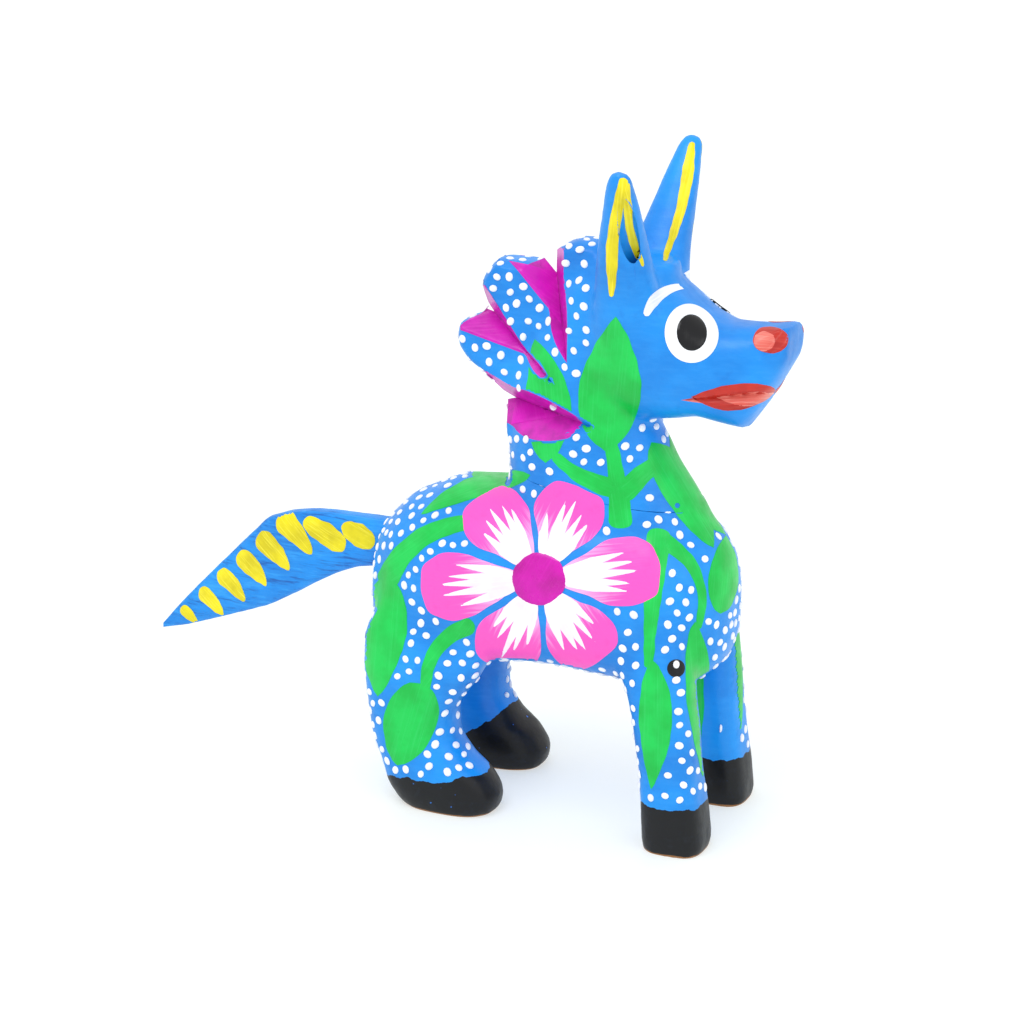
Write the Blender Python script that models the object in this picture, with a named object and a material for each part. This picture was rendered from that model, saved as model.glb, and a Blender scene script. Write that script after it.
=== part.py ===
"""A small carved wooden pony, painted in the alebrije manner.

Four pieces of wood: the body with its legs, the head with its neck, mane and ears, the tail,
which pushes into the rump, and a dowel hidden across the glued neck joint.
+X is the way the pony faces, +Y its left side, +Z up, and the soles stand on z = 0.
The tables below are in millimetres.
"""

from math import cos
from math import pi
from math import sin

import bmesh
import bpy
from mathutils import Matrix
from mathutils import Vector

MM = 0.001
RING_SIDES = 28
VOXEL = 0.55
SMOOTH_ROUNDS = 6
BLEND_ROUNDS = 16
BLEND_FROM = 9.0
BLEND_TO = 43.0
FIGURE_TRIANGLES = 11000
JOINT_GAP = 0.3
BLUE_PAINT = (0.03, 0.28, 0.85)
TAIL_PAINT = (0.03, 0.24, 0.75)
BARE_WOOD = (0.62, 0.42, 0.24)

# x, centre height, half width, half height
TORSO = (
    (-30.5, 27.0, 2.0, 3.0),
    (-30.0, 27.6, 4.4, 6.2),
    (-28.5, 28.8, 7.4, 9.2),
    (-25.0, 30.0, 10.2, 11.4),
    (-19.0, 31.8, 12.1, 12.3),
    (-12.0, 32.6, 12.7, 12.1),
    (-3.0, 33.3, 12.6, 11.9),
    (6.0, 33.0, 12.4, 12.2),
    (12.5, 32.2, 11.6, 12.0),
    (17.0, 31.6, 9.0, 10.4),
    (19.6, 31.2, 5.6, 7.6),
    (20.7, 31.0, 2.6, 4.0),
)
TORSO_POWER = 2.2
BELLY_POWER = 3.0

# height, centre x, half length, half width
HIND_LEG = (
    (-1.2, -16.4, 5.0, 3.4),
    (0.6, -16.6, 7.2, 4.6),
    (2.7, -17.3, 8.1, 4.9),
    (5.2, -18.4, 7.7, 4.8),
    (7.2, -20.0, 6.8, 4.5),
    (10.0, -21.6, 6.3, 4.3),
    (14.5, -22.0, 6.4, 4.5),
    (19.0, -20.6, 8.4, 4.6),
    (24.0, -19.4, 9.4, 4.0),
    (31.0, -18.0, 7.4, 2.4),
)
HIND_LEG_Y = 8.4
HIND_LEG_POWER = 2.6

FRONT_LEG = (
    (-1.2, 16.3, 3.6, 3.7),
    (0.7, 16.4, 4.3, 4.3),
    (5.0, 16.1, 4.2, 4.2),
    (10.0, 15.5, 4.0, 3.9),
    (18.0, 14.5, 4.2, 3.9),
    (24.0, 13.4, 4.8, 3.4),
    (31.0, 11.6, 4.2, 2.0),
)
FRONT_LEG_Y = 8.8
FRONT_LEG_POWER = 3.2

NECK = (
    (36.0, 4.6, 14.0, 9.6),
    (42.0, 3.2, 14.0, 9.0),
    (46.0, 2.0, 12.8, 8.0),
    (50.0, 0.6, 11.5, 7.2),
    (55.0, -0.6, 10.2, 6.5),
    (60.0, -0.6, 10.0, 6.0),
    (66.0, 1.5, 9.0, 6.0),
    (72.0, 4.0, 8.0, 6.0),
    (76.5, 6.0, 6.0, 4.6),
)
NECK_POWER = 2.2

# x, centre height, half width, half height
HEAD = (
    (-3.0, 67.0, 4.4, 6.0),
    (3.0, 66.6, 6.6, 9.2),
    (8.5, 66.0, 7.6, 10.2),
    (12.5, 65.0, 7.8, 8.6),
    (16.0, 63.9, 7.3, 6.8),
    (19.0, 63.0, 6.4, 6.5),
    (22.0, 62.8, 5.6, 6.8),
    (24.4, 64.6, 5.0, 5.1),
    (26.4, 66.5, 4.5, 3.5),
    (27.8, 67.9, 4.0, 2.3),
)
HEAD_POWER = 2.6

# height, centre x, distance from the middle, half length, half width
EAR = (
    (65.0, 6.6, 3.2, 4.4, 4.0),
    (70.0, 6.9, 4.4, 4.5, 3.9),
    (74.0, 7.1, 5.6, 4.1, 3.5),
    (78.0, 7.3, 7.3, 3.5, 3.0),
    (82.0, 7.8, 9.3, 2.9, 2.4),
    (86.0, 8.3, 11.3, 2.2, 1.9),
    (89.4, 8.7, 12.9, 1.5, 1.3),
    (90.2, 8.8, 13.2, 0.9, 0.8),
)
EAR_POWER = 2.4

# x, height round the mane board
MANE_OUTLINE = (
    (4.0, 50.0),
    (-10.5, 50.0),
    (-11.0, 54.5),
    (-13.5, 59.0),
    (-16.5, 61.0),
    (-18.0, 63.0),
    (-18.0, 66.0),
    (-14.5, 67.5),
    (-14.5, 72.5),
    (-12.5, 75.0),
    (-7.0, 75.0),
    (-3.5, 77.5),
    (-1.5, 78.5),
    (1.5, 78.5),
    (5.0, 76.0),
    (5.0, 60.0),
)
MANE_HALF_THICK = 3.3
MANE_EDGE_INSET = 0.8

# Each notch in the mane: its tip's x and height, the way it opens and half its spread in degrees, then how
# far from the tip its bottom meets the board's edge and its front and back rims lie
MANE_NOTCHES = (
    (-2.5, 67.5, 111.0, 22.0, 6.5, 10.5, 11.0),
    (-7.0, 63.0, 146.0, 20.0, 8.0, 12.0, 11.5),
    (-2.5, 55.5, 176.0, 20.0, 8.0, 14.0, 7.5),
)
NOTCH_DEPTH = 3.5
# Cuts: bottom end, other end of the bottom, then one place on each wall, as x, y, z
MOUTH_CUT = ((27.6, -2.6, 62.0), (15.8, -6.6, 60.6), (27.4, -5.0, 63.2), (25.0, -5.6, 58.6))
NOSTRIL_CUT = ((26.7, -2.4, 69.5), (25.0, -4.2, 67.0), (23.0, -4.1, 68.7), (27.7, -3.9, 68.3))
EAR_HOLLOW_AT = (9.3, -10.6, 81.5)
EAR_HOLLOW_HALF = (0.9, 1.3, 6.4)
EAR_HOLLOW_TURN = -0.85
EAR_HOLLOW_LEAN = 0.46
CUTTER_REACH = 3.0

NECK_PLANE_AT_ZERO = 46.3
NECK_PLANE_SLOPE = -0.12

# the tail board's tip, its widest place and where it narrows to its root
TAIL_TIP = (-65.7, 15.7)
TAIL_TIP_HALF = 0.4
TAIL_TIP_HALF_THICK = 0.5
TAIL_WIDEST = (-48.0, 28.0)
TAIL_WIDEST_HALF = 6.5
TAIL_WIDEST_HALF_THICK = 1.5
TAIL_NARROW_X = -30.4
TAIL_STEPS = 5
TAIL_TAPER = 0.85
TAIL_ARCH = 1.7
TAIL_POWER = 4.0
TAIL_ROOT_X = -27.9
TAIL_ROOT_Z = 33.3
TAIL_ROOT_HALF = 3.4
TAIL_ROOT_HALF_THICK = 1.8
TENON_LENGTH = 6.0
TENON_RADIUS = 1.5
TENON_START_X = -30.0
TENON_END_GAP = 0.6
TENON_SIDES = 16

PEG_RADIUS = 1.5
PEG_HALF_LENGTH = 6.0
PEG_X = 1.5
PEG_END_GAP = 0.6
PEG_SIDES = 20


def clear_scene():
    for obj in list(bpy.data.objects):
        bpy.data.objects.remove(obj, do_unlink=True)


def wood(name, colour, roughness):
    """An opaque, non-metallic Principled material."""
    material = bpy.data.materials.new(name)
    material.use_nodes = True
    shader = material.node_tree.nodes["Principled BSDF"]
    shader.inputs["Base Color"].default_value = (*colour, 1.0)
    shader.inputs["Roughness"].default_value = roughness
    shader.inputs["Metallic"].default_value = 0.0
    material.diffuse_color = (*colour, 1.0)
    return material


def object_from(bm, name, turn_outwards=True):
    if turn_outwards:
        bmesh.ops.recalc_face_normals(bm, faces=bm.faces[:])
    mesh = bpy.data.meshes.new(name)
    bm.to_mesh(mesh)
    bm.free()
    obj = bpy.data.objects.new(name, mesh)
    bpy.context.scene.collection.objects.link(obj)
    return obj


def oval(across, up, power, lower_power=None):
    """Points round a rounded rectangle: power 2 gives an ellipse, and a higher power squarer corners."""
    points = []
    upper_power = power
    for i in range(RING_SIDES):
        angle = 2 * pi * i / RING_SIDES
        c = cos(angle)
        s = sin(angle)
        power = lower_power if lower_power and s < 0 else upper_power
        u = across * abs(c) ** (2 / power) * (1 if c >= 0 else -1)
        v = up * abs(s) ** (2 / power) * (1 if s >= 0 else -1)
        points.append((u, v))
    return points


def loft(name, rings):
    """One closed body through rings of points in millimetres, flat at both ends."""
    bm = bmesh.new()
    rows = [[bm.verts.new(Vector(point) * MM) for point in ring] for ring in rings]
    for row, following in zip(rows, rows[1:]):
        for i, vert in enumerate(row):
            j = (i + 1) % len(row)
            bm.faces.new((vert, row[j], following[j], following[i]))
    bm.faces.new(rows[0])
    bm.faces.new(rows[-1])
    return object_from(bm, name)


def loft_along_x(name, table, power, lower_power=None):
    rings = []
    for x, z, half_y, half_z in table:
        rings.append([(x, u, z + v) for u, v in oval(half_y, half_z, power, lower_power)])
    return loft(name, rings)


def loft_upwards(name, table, power, side_y):
    rings = []
    for z, x, half_x, half_y in table:
        rings.append([(x + u, side_y + v, z) for u, v in oval(half_x, half_y, power)])
    return loft(name, rings)


def ear(name, side):
    rings = []
    for z, x, out, half_x, half_y in EAR:
        rings.append([(x + u, side * out + v, z) for u, v in oval(half_x, half_y, EAR_POWER)])
    return loft(name, rings)


def mane_board():
    """The flat board behind the neck, a little thinner round its edge."""
    middle_x = sum(x for x, _ in MANE_OUTLINE) / len(MANE_OUTLINE)
    middle_z = sum(z for _, z in MANE_OUTLINE) / len(MANE_OUTLINE)
    rings = []
    for y, inset in (
        (-MANE_HALF_THICK, MANE_EDGE_INSET),
        (-MANE_HALF_THICK * 0.5, 0.0),
        (MANE_HALF_THICK * 0.5, 0.0),
        (MANE_HALF_THICK, MANE_EDGE_INSET),
    ):
        ring = []
        for x, z in MANE_OUTLINE:
            inward = Vector((middle_x - x, middle_z - z)).normalized() * inset
            ring.append((x + inward.x, y, z + inward.y))
        rings.append(ring)
    return loft("mane_board", rings)


def join(objects):
    """The objects as one, each still its own closed shell."""
    bm = bmesh.new()
    for obj in objects:
        bm.from_mesh(obj.data)
    joined = object_from(bm, "shells", turn_outwards=False)
    for obj in objects:
        bpy.data.objects.remove(obj, do_unlink=True)
    return joined


def apply_modifiers(obj):
    graph = bpy.context.evaluated_depsgraph_get()
    graph.update()
    mesh = bpy.data.meshes.new_from_object(obj.evaluated_get(graph))
    obj.modifiers.clear()
    obj.data = mesh


def carve_as_one(obj, triangles):
    """Runs overlapping shells together as one carved surface of about this many triangles.

    The legs run into the torso in a wider curve than the rest.
    """
    remesh = obj.modifiers.new("one_block", "REMESH")
    remesh.mode = "VOXEL"
    remesh.voxel_size = VOXEL * MM
    remesh.adaptivity = 0.0
    apply_modifiers(obj)
    haunches = obj.vertex_groups.new(name="haunches")
    for vert in obj.data.vertices:
        if BLEND_FROM * MM < vert.co.z < BLEND_TO * MM:
            haunches.add([vert.index], 1.0, "REPLACE")
    blend = obj.modifiers.new("blended", "SMOOTH")
    blend.factor = 0.5
    blend.iterations = BLEND_ROUNDS
    blend.vertex_group = haunches.name
    smooth = obj.modifiers.new("sanded", "SMOOTH")
    smooth.factor = 0.5
    smooth.iterations = SMOOTH_ROUNDS
    apply_modifiers(obj)
    obj.vertex_groups.clear()
    thin = obj.modifiers.new("fewer", "DECIMATE")
    thin.ratio = min(1.0, triangles / (2 * len(obj.data.polygons)))
    thin.use_collapse_triangulate = True
    apply_modifiers(obj)


def boolean(obj, other, operation):
    change = obj.modifiers.new(operation.lower(), "BOOLEAN")
    change.operation = operation
    change.solver = "EXACT"
    change.object = other
    apply_modifiers(obj)
    bpy.data.objects.remove(other, do_unlink=True)


def cut(obj, cutter):
    boolean(obj, cutter, "DIFFERENCE")


def block(low, high):
    """A closed box between two corners, in millimetres."""
    bm = bmesh.new()
    size = Vector(high) - Vector(low)
    middle = (Vector(high) + Vector(low)) / 2
    place = Matrix.Translation(middle * MM) @ Matrix.Diagonal((*(size * MM), 1.0))
    bmesh.ops.create_cube(bm, size=1.0, matrix=place)
    return object_from(bm, "block")


def rod(start, end, radius, sides):
    """A closed cylinder between two points, in millimetres."""
    start = Vector(start)
    end = Vector(end)
    along = (end - start).normalized()
    side = along.orthogonal().normalized()
    across = along.cross(side)
    rings = []
    for centre in (start, end):
        ring = []
        for i in range(sides):
            angle = 2 * pi * i / sides
            ring.append(centre + (side * cos(angle) + across * sin(angle)) * radius)
        rings.append(ring)
    return loft("rod", rings)


def neck_slab(offset, up):
    """Everything above the neck joint's plane, or below it, as a cutter."""
    far = 120.0
    edge = []
    for x in (-far, far):
        edge.append(Vector((x, 0.0, NECK_PLANE_AT_ZERO + offset + NECK_PLANE_SLOPE * x)))
    top = far if up else -far
    bm = bmesh.new()
    verts = []
    for y in (-far, far):
        corners = [edge[0], edge[1], Vector((far, 0.0, top)), Vector((-far, 0.0, top))]
        verts.append([bm.verts.new((c + Vector((0.0, y, 0.0))) * MM) for c in corners])
    bm.faces.new(verts[0])
    bm.faces.new(verts[1])
    for i in range(4):
        j = (i + 1) % 4
        bm.faces.new((verts[0][i], verts[0][j], verts[1][j], verts[1][i]))
    return object_from(bm, "neck_slab")


def groove_cutter(root, tip, rim_a, rim_b, side):
    """A wedge whose sharp edge runs from root to tip and whose sides open towards the two rims."""
    flip = Vector((1.0, -side, 1.0))
    root, tip, rim_a, rim_b = (Vector(p) * flip for p in (root, tip, rim_a, rim_b))
    along = (tip - root).normalized()
    wings = []
    for rim in (rim_a, rim_b):
        wing = rim - root
        wing -= along * wing.dot(along)
        wings.append(wing * CUTTER_REACH)
    rings = []
    for base in (root - along * 6.0, tip + along * 6.0):
        rings.append([base, base + wings[0], base + wings[1]])
    return loft("groove_cutter", rings)


def notch_points(tip_x, tip_z, opens, spread, root_reach, front_reach, back_reach):
    """A notch's bottom at the board's edge, its tip, and a place on each of its rims."""
    places = []
    for turn, reach, depth in (
        (opens, root_reach, 0.0),
        (opens, 0.0, NOTCH_DEPTH),
        (opens - spread, front_reach, NOTCH_DEPTH),
        (opens + spread, back_reach, NOTCH_DEPTH),
    ):
        angle = turn * pi / 180.0
        places.append((tip_x + reach * cos(angle), -depth, tip_z + reach * sin(angle)))
    return places


def cut_mane(head):
    for side in (-1, 1):
        for notch in MANE_NOTCHES:
            cut(head, groove_cutter(*notch_points(*notch), side))


def ear_hollow(side):
    """A long shallow scoop, mirrored to one side."""
    bm = bmesh.new()
    bmesh.ops.create_uvsphere(bm, u_segments=14, v_segments=12, radius=1.0)
    bm.transform(Matrix.Diagonal((*EAR_HOLLOW_HALF, 1.0)))
    bm.transform(Matrix.Rotation(EAR_HOLLOW_TURN, 4, "Z"))
    bm.transform(Matrix.Rotation(EAR_HOLLOW_LEAN, 4, "X"))
    bm.transform(Matrix.Translation(EAR_HOLLOW_AT))
    bm.transform(Matrix.Diagonal((MM, -side * MM, MM, 1.0)))
    return object_from(bm, "ear_hollow")


def cut_face(head):
    for side in (-1, 1):
        cut(head, groove_cutter(*MOUTH_CUT, side))
        cut(head, groove_cutter(*NOSTRIL_CUT, side))
        cut(head, ear_hollow(side))


def between(start, end, share):
    return start + (end - start) * share


def tail_stations():
    """Rings for the tail board, from its tip to its root: x, centre height, half thickness, half height."""
    stations = []
    for step in range(TAIL_STEPS + 1):
        share = step / TAIL_STEPS
        x = between(TAIL_TIP[0], TAIL_WIDEST[0], share)
        z = between(TAIL_TIP[1], TAIL_WIDEST[1], share)
        thick = between(TAIL_TIP_HALF_THICK, TAIL_WIDEST_HALF_THICK, share**TAIL_TAPER)
        half = between(TAIL_TIP_HALF, TAIL_WIDEST_HALF, share**TAIL_TAPER)
        stations.append((x, z, thick, half))
    for step in range(1, TAIL_STEPS + 1):
        left = 1.0 - step / TAIL_STEPS
        x = between(TAIL_NARROW_X, TAIL_WIDEST[0], left)
        z = between(TAIL_ROOT_Z, TAIL_WIDEST[1], left**TAIL_ARCH)
        thick = between(TAIL_ROOT_HALF_THICK, TAIL_WIDEST_HALF_THICK, left)
        half = between(TAIL_ROOT_HALF, TAIL_WIDEST_HALF, left * left * (3.0 - 2.0 * left))
        stations.append((x, z, thick, half))
    stations.append((TAIL_ROOT_X, TAIL_ROOT_Z, TAIL_ROOT_HALF_THICK, TAIL_ROOT_HALF))
    return stations


def tail():
    board = loft_along_x("tail", tail_stations(), TAIL_POWER)
    start = (TENON_START_X, 0.0, TAIL_ROOT_Z)
    end = (TAIL_ROOT_X + TENON_LENGTH, 0.0, TAIL_ROOT_Z)
    boolean(board, rod(start, end, TENON_RADIUS, TENON_SIDES), "UNION")
    return board


def cut_tail_socket(body):
    """A shallow recess for the root of the board, and a round hole for its tenon."""
    half_y = TAIL_ROOT_HALF_THICK + JOINT_GAP
    half_z = TAIL_ROOT_HALF + JOINT_GAP
    low = (-60.0, -half_y, TAIL_ROOT_Z - half_z)
    high = (TAIL_ROOT_X + JOINT_GAP, half_y, TAIL_ROOT_Z + half_z)
    cut(body, block(low, high))
    start = (TAIL_ROOT_X - 1.0, 0.0, TAIL_ROOT_Z)
    end = (TAIL_ROOT_X + TENON_LENGTH + TENON_END_GAP, 0.0, TAIL_ROOT_Z)
    cut(body, rod(start, end, TENON_RADIUS + JOINT_GAP, TENON_SIDES))


def peg_line():
    """The middle of the neck joint and the direction square to it."""
    middle = Vector((PEG_X, 0.0, NECK_PLANE_AT_ZERO + NECK_PLANE_SLOPE * PEG_X))
    return middle, Vector((-NECK_PLANE_SLOPE, 0.0, 1.0)).normalized()


def neck_peg():
    middle, along = peg_line()
    half = along * PEG_HALF_LENGTH
    peg = rod(middle - half, middle + half, PEG_RADIUS, PEG_SIDES)
    peg.name = "neck_peg"
    return peg


def cut_peg_hole(piece):
    middle, along = peg_line()
    half = along * (PEG_HALF_LENGTH + PEG_END_GAP)
    cut(piece, rod(middle - half, middle + half, PEG_RADIUS + JOINT_GAP, PEG_SIDES))


def centre_over_origin(pieces):
    """Shifts every piece alike, so that the middle of the whole stands over the origin."""
    corners = [vert.co for piece in pieces for vert in piece.data.vertices]
    middle_x = (min(c.x for c in corners) + max(c.x for c in corners)) / 2
    middle_y = (min(c.y for c in corners) + max(c.y for c in corners)) / 2
    for piece in pieces:
        piece.data.transform(Matrix.Translation((-middle_x, -middle_y, 0.0)))
    return middle_x


def put_origin_at(piece, point):
    piece.data.transform(Matrix.Translation(-point))
    piece.location = point


def make_figure_parts():
    torso = [loft_along_x("torso", TORSO, TORSO_POWER, BELLY_POWER)]
    for side in (-1, 1):
        torso.append(loft_upwards("hind_leg", HIND_LEG, HIND_LEG_POWER, side * HIND_LEG_Y))
        torso.append(loft_upwards("front_leg", FRONT_LEG, FRONT_LEG_POWER, side * FRONT_LEG_Y))
    neck = [loft_upwards("neck", NECK, NECK_POWER, 0.0), mane_board()]
    neck.append(loft_along_x("head", HEAD, HEAD_POWER))
    for side in (-1, 1):
        neck.append(ear("ear", side))
    return torso + neck


def main():
    clear_scene()
    head = join(make_figure_parts())
    carve_as_one(head, FIGURE_TRIANGLES)
    head.name = "head"
    body = bpy.data.objects.new("body", head.data.copy())
    bpy.context.scene.collection.objects.link(body)
    cut(head, neck_slab(JOINT_GAP / 2, False))
    cut(body, neck_slab(-JOINT_GAP / 2, True))
    cut(body, block((-80.0, -40.0, -20.0), (60.0, 40.0, 0.0)))
    cut_mane(head)
    cut_face(head)
    cut_peg_hole(head)
    cut_peg_hole(body)
    cut_tail_socket(body)
    board = tail()
    pieces = (
        (body, "body_wood", BLUE_PAINT, 0.4),
        (head, "head_wood", BLUE_PAINT, 0.4),
        (board, "tail_wood", TAIL_PAINT, 0.45),
        (neck_peg(), "peg_wood", BARE_WOOD, 0.7),
    )
    for piece, name, colour, roughness in pieces:
        piece.data.materials.clear()
        piece.data.materials.append(wood(name, colour, roughness))
    middle_x = centre_over_origin([piece for piece, _, _, _ in pieces])
    put_origin_at(board, Vector((TAIL_ROOT_X * MM - middle_x, 0.0, TAIL_ROOT_Z * MM)))


main()
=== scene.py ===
"""The painted looks of a small carved wooden pony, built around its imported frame.

The wood pieces are finer copies of the frame's bodies, smoothed but with every knife cut kept.
The decoration is laid on them as thin coats of paint with their own shape. Its places are in
millimetres on a plane square to the direction the painter looks from, with z up.
"""

import math
import random
from itertools import product

import bmesh
import bpy
import numpy as np
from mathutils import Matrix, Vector
from mathutils import geometry
from mathutils import noise
from mathutils.bvhtree import BVHTree


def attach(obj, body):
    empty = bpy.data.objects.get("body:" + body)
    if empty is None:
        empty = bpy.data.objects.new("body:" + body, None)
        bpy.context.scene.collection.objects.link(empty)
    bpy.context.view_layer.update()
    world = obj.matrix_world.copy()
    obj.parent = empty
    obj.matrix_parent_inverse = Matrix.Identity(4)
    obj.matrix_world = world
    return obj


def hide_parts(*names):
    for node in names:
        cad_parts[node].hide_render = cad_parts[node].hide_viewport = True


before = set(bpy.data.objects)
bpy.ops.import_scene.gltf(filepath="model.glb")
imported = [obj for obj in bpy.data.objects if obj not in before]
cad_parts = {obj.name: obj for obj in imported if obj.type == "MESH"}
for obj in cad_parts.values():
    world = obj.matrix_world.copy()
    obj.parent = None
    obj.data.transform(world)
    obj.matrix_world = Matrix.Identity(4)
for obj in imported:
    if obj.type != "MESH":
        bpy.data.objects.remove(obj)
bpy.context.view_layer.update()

MM = 0.001

# camera and light
CAMERA_AZIMUTH = 23.3
CAMERA_ELEVATION = 18.6
CAMERA_DISTANCE = 0.369
CAMERA_TARGET = (0.00785, 0.0, 0.040)
CAMERA_LENS = 96.7

# refining the wood
LONGEST_EDGE = 0.75 * MM
SHARP_ANGLE = math.radians(33)
SMOOTH_ROUNDS = 26
SMOOTH_IN = 0.5
SMOOTH_OUT = -0.53

# the neck joint's plane: height at x = 0, and slope
NECK_HEIGHT = 48.574 * MM
NECK_SLOPE = -0.12
NECK_CLOSE = 0.145 * MM
NECK_CLOSE_REACH = 2.0 * MM

# thickness of each coat of paint, in millimetres
LEAF_COAT = 0.07
STEM_COAT = 0.062
PETAL_COAT = 0.10
RAY_COAT = 0.14
PALE_COAT = 0.125
DISC_COAT = 0.20
EYE_COAT = 0.10
PUPIL_COAT = 0.17
EAR_COAT = 0.09
LIP_COAT = 0.08
LIP_HIGHLIGHT_COAT = 0.12
NOTCH_COAT = 0.07
SPOT_COAT = 0.11
TAIL_COAT = 0.08

# spacing of the points inside a coat, in millimetres, where it is finer than usual
FINE_GRID = 0.26
LIP_GRID = 0.16
RIM_GRID = 0.18

# how far a coat may reach across the figure's middle, as y on the painted side
PETAL_LIMIT = -2.0
NEAR_EYE_LIMIT = -0.6
FAR_EYE_LIMIT = -4.0

DOT_TRIES = 60000


# ---------------------------------------------------------------- shader helpers


def srgb(red, green, blue):
    """A colour from 0 to 255 as linear light."""
    linear = []
    for value in (red, green, blue):
        value /= 255
        linear.append(value / 12.92 if value <= 0.04045 else ((value + 0.055) / 1.055) ** 2.4)
    return (*linear, 1.0)


class Shader:
    """A Principled material with short calls for the nodes used here."""

    def __init__(self, name, roughness, coat=0.0, specular=0.5):
        self.material = bpy.data.materials.new(name)
        self.material.use_nodes = True
        self.nodes = self.material.node_tree.nodes
        self.links = self.material.node_tree.links
        self.out = self.nodes["Principled BSDF"]
        self.out.inputs["Roughness"].default_value = roughness
        self.out.inputs["Specular IOR Level"].default_value = specular
        if coat:
            self.out.inputs["Coat Weight"].default_value = coat
            self.out.inputs["Coat Roughness"].default_value = 0.22
        self.place = self.nodes.new("ShaderNodeTexCoord").outputs["Object"]

    def node(self, kind, **settings):
        made = self.nodes.new(kind)
        for key, value in settings.items():
            setattr(made, key, value)
        return made

    def link(self, a, b):
        self.links.new(a, b)

    def attribute(self, name):
        return self.node("ShaderNodeAttribute", attribute_name=name)

    def stretched(self, scale, source=None):
        mapping = self.node("ShaderNodeMapping")
        mapping.inputs["Scale"].default_value = scale
        self.link(source or self.place, mapping.inputs["Vector"])
        return mapping.outputs["Vector"]

    def noise(self, scale, detail=4.0, rough=0.55, vector=None, distortion=0.0):
        made = self.node("ShaderNodeTexNoise")
        made.inputs["Scale"].default_value = scale
        made.inputs["Detail"].default_value = detail
        made.inputs["Roughness"].default_value = rough
        made.inputs["Distortion"].default_value = distortion
        self.link(vector or self.place, made.inputs["Vector"])
        return made.outputs["Fac"]

    def ramp(self, value, low, high, start=0.0, end=1.0):
        made = self.node("ShaderNodeMapRange")
        made.inputs["From Min"].default_value = low
        made.inputs["From Max"].default_value = high
        made.inputs["To Min"].default_value = start
        made.inputs["To Max"].default_value = end
        self.link(value, made.inputs["Value"])
        return made.outputs["Result"]

    def math(self, operation, a, b):
        made = self.node("ShaderNodeMath", operation=operation)
        for socket, value in zip(made.inputs, (a, b)):
            if isinstance(value, (int, float)):
                socket.default_value = value
            else:
                self.link(value, socket)
        return made.outputs["Value"]

    def mix(self, factor, a, b, blend="MIX"):
        made = self.node("ShaderNodeMix", data_type="RGBA", blend_type=blend)
        for socket, value in ((made.inputs[0], factor), (made.inputs[6], a), (made.inputs[7], b)):
            if isinstance(value, (int, float, tuple)):
                socket.default_value = value
            else:
                self.link(value, socket)
        return made.outputs[2]

    def colour(self, value):
        if isinstance(value, tuple):
            self.out.inputs["Base Color"].default_value = value
        else:
            self.link(value, self.out.inputs["Base Color"])

    def roughness(self, value):
        self.link(value, self.out.inputs["Roughness"])

    def bump(self, heights):
        """heights: (value, distance in millimetres) pairs, laid over each other."""
        normal = None
        for value, distance in heights:
            made = self.node("ShaderNodeBump")
            made.inputs["Strength"].default_value = 1.0
            made.inputs["Distance"].default_value = distance * MM
            self.link(value, made.inputs["Height"])
            if normal:
                self.link(normal, made.inputs["Normal"])
            normal = made.outputs["Normal"]
        self.link(normal, self.out.inputs["Normal"])


# ---------------------------------------------------------------- the wood


def fine_copy(node, name):
    """The node's mesh as one welded bmesh with short edges."""
    bm = bmesh.new()
    bm.from_mesh(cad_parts[node].data)
    bmesh.ops.remove_doubles(bm, verts=bm.verts[:], dist=0.002 * MM)
    bmesh.ops.triangulate(bm, faces=bm.faces[:])
    for _ in range(6):
        long_edges = [e for e in bm.edges if e.calc_length() > LONGEST_EDGE]
        if not long_edges:
            break
        bmesh.ops.subdivide_edges(bm, edges=long_edges, cuts=1)
        bmesh.ops.triangulate(bm, faces=[f for f in bm.faces if len(f.verts) > 3])
    bmesh.ops.recalc_face_normals(bm, faces=bm.faces[:])
    mesh = bpy.data.meshes.new(name)
    bm.to_mesh(mesh)
    bm.free()
    return mesh


def smooth_between_cuts(mesh):
    """Smooths the surface, but moves a point on a sharp edge only along that edge, and never a corner."""
    count = len(mesh.vertices)
    points = np.empty(count * 3)
    mesh.vertices.foreach_get("co", points)
    points = points.reshape(-1, 3)
    bm = bmesh.new()
    bm.from_mesh(mesh)
    ends = []
    sharp_ends = []
    for e in bm.edges:
        pair = (e.verts[0].index, e.verts[1].index)
        ends.append(pair)
        if len(e.link_faces) == 2 and e.calc_face_angle(0.0) > SHARP_ANGLE:
            sharp_ends.append(pair)
    bm.free()
    ends = np.array(ends)
    sharp_count = np.zeros(count, int)
    for _ in range(3):
        # loose ends of sharp lines are stray creases, not cuts
        sharp_count[:] = 0
        for pair in sharp_ends:
            for i in pair:
                sharp_count[i] += 1
        sharp_ends = [(i, j) for i, j in sharp_ends if sharp_count[i] > 1 and sharp_count[j] > 1]
    sharp_ends = np.array(sharp_ends).reshape(-1, 2)
    sharp_count[:] = 0
    np.add.at(sharp_count, sharp_ends.reshape(-1), 1)
    from_to = np.concatenate([ends, ends[:, ::-1]])
    from_to = from_to[sharp_count[from_to[:, 0]] == 0]
    along = np.concatenate([sharp_ends, sharp_ends[:, ::-1]])
    along = along[sharp_count[along[:, 0]] == 2]
    from_to = np.concatenate([from_to, along])
    neighbours = np.zeros(count)
    np.add.at(neighbours, from_to[:, 0], 1)
    moving = neighbours > 0
    for _ in range(SMOOTH_ROUNDS):
        for step in (SMOOTH_IN, SMOOTH_OUT):
            total = np.zeros_like(points)
            np.add.at(total, from_to[:, 0], points[from_to[:, 1]])
            mean = total[moving] / neighbours[moving, None]
            points[moving] += step * (mean - points[moving])
    mesh.vertices.foreach_set("co", points.reshape(-1))
    mesh.update()
    return points


def write_points(mesh, points):
    mesh.vertices.foreach_set("co", np.asarray(points, np.float32).reshape(-1))
    mesh.update()


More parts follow.
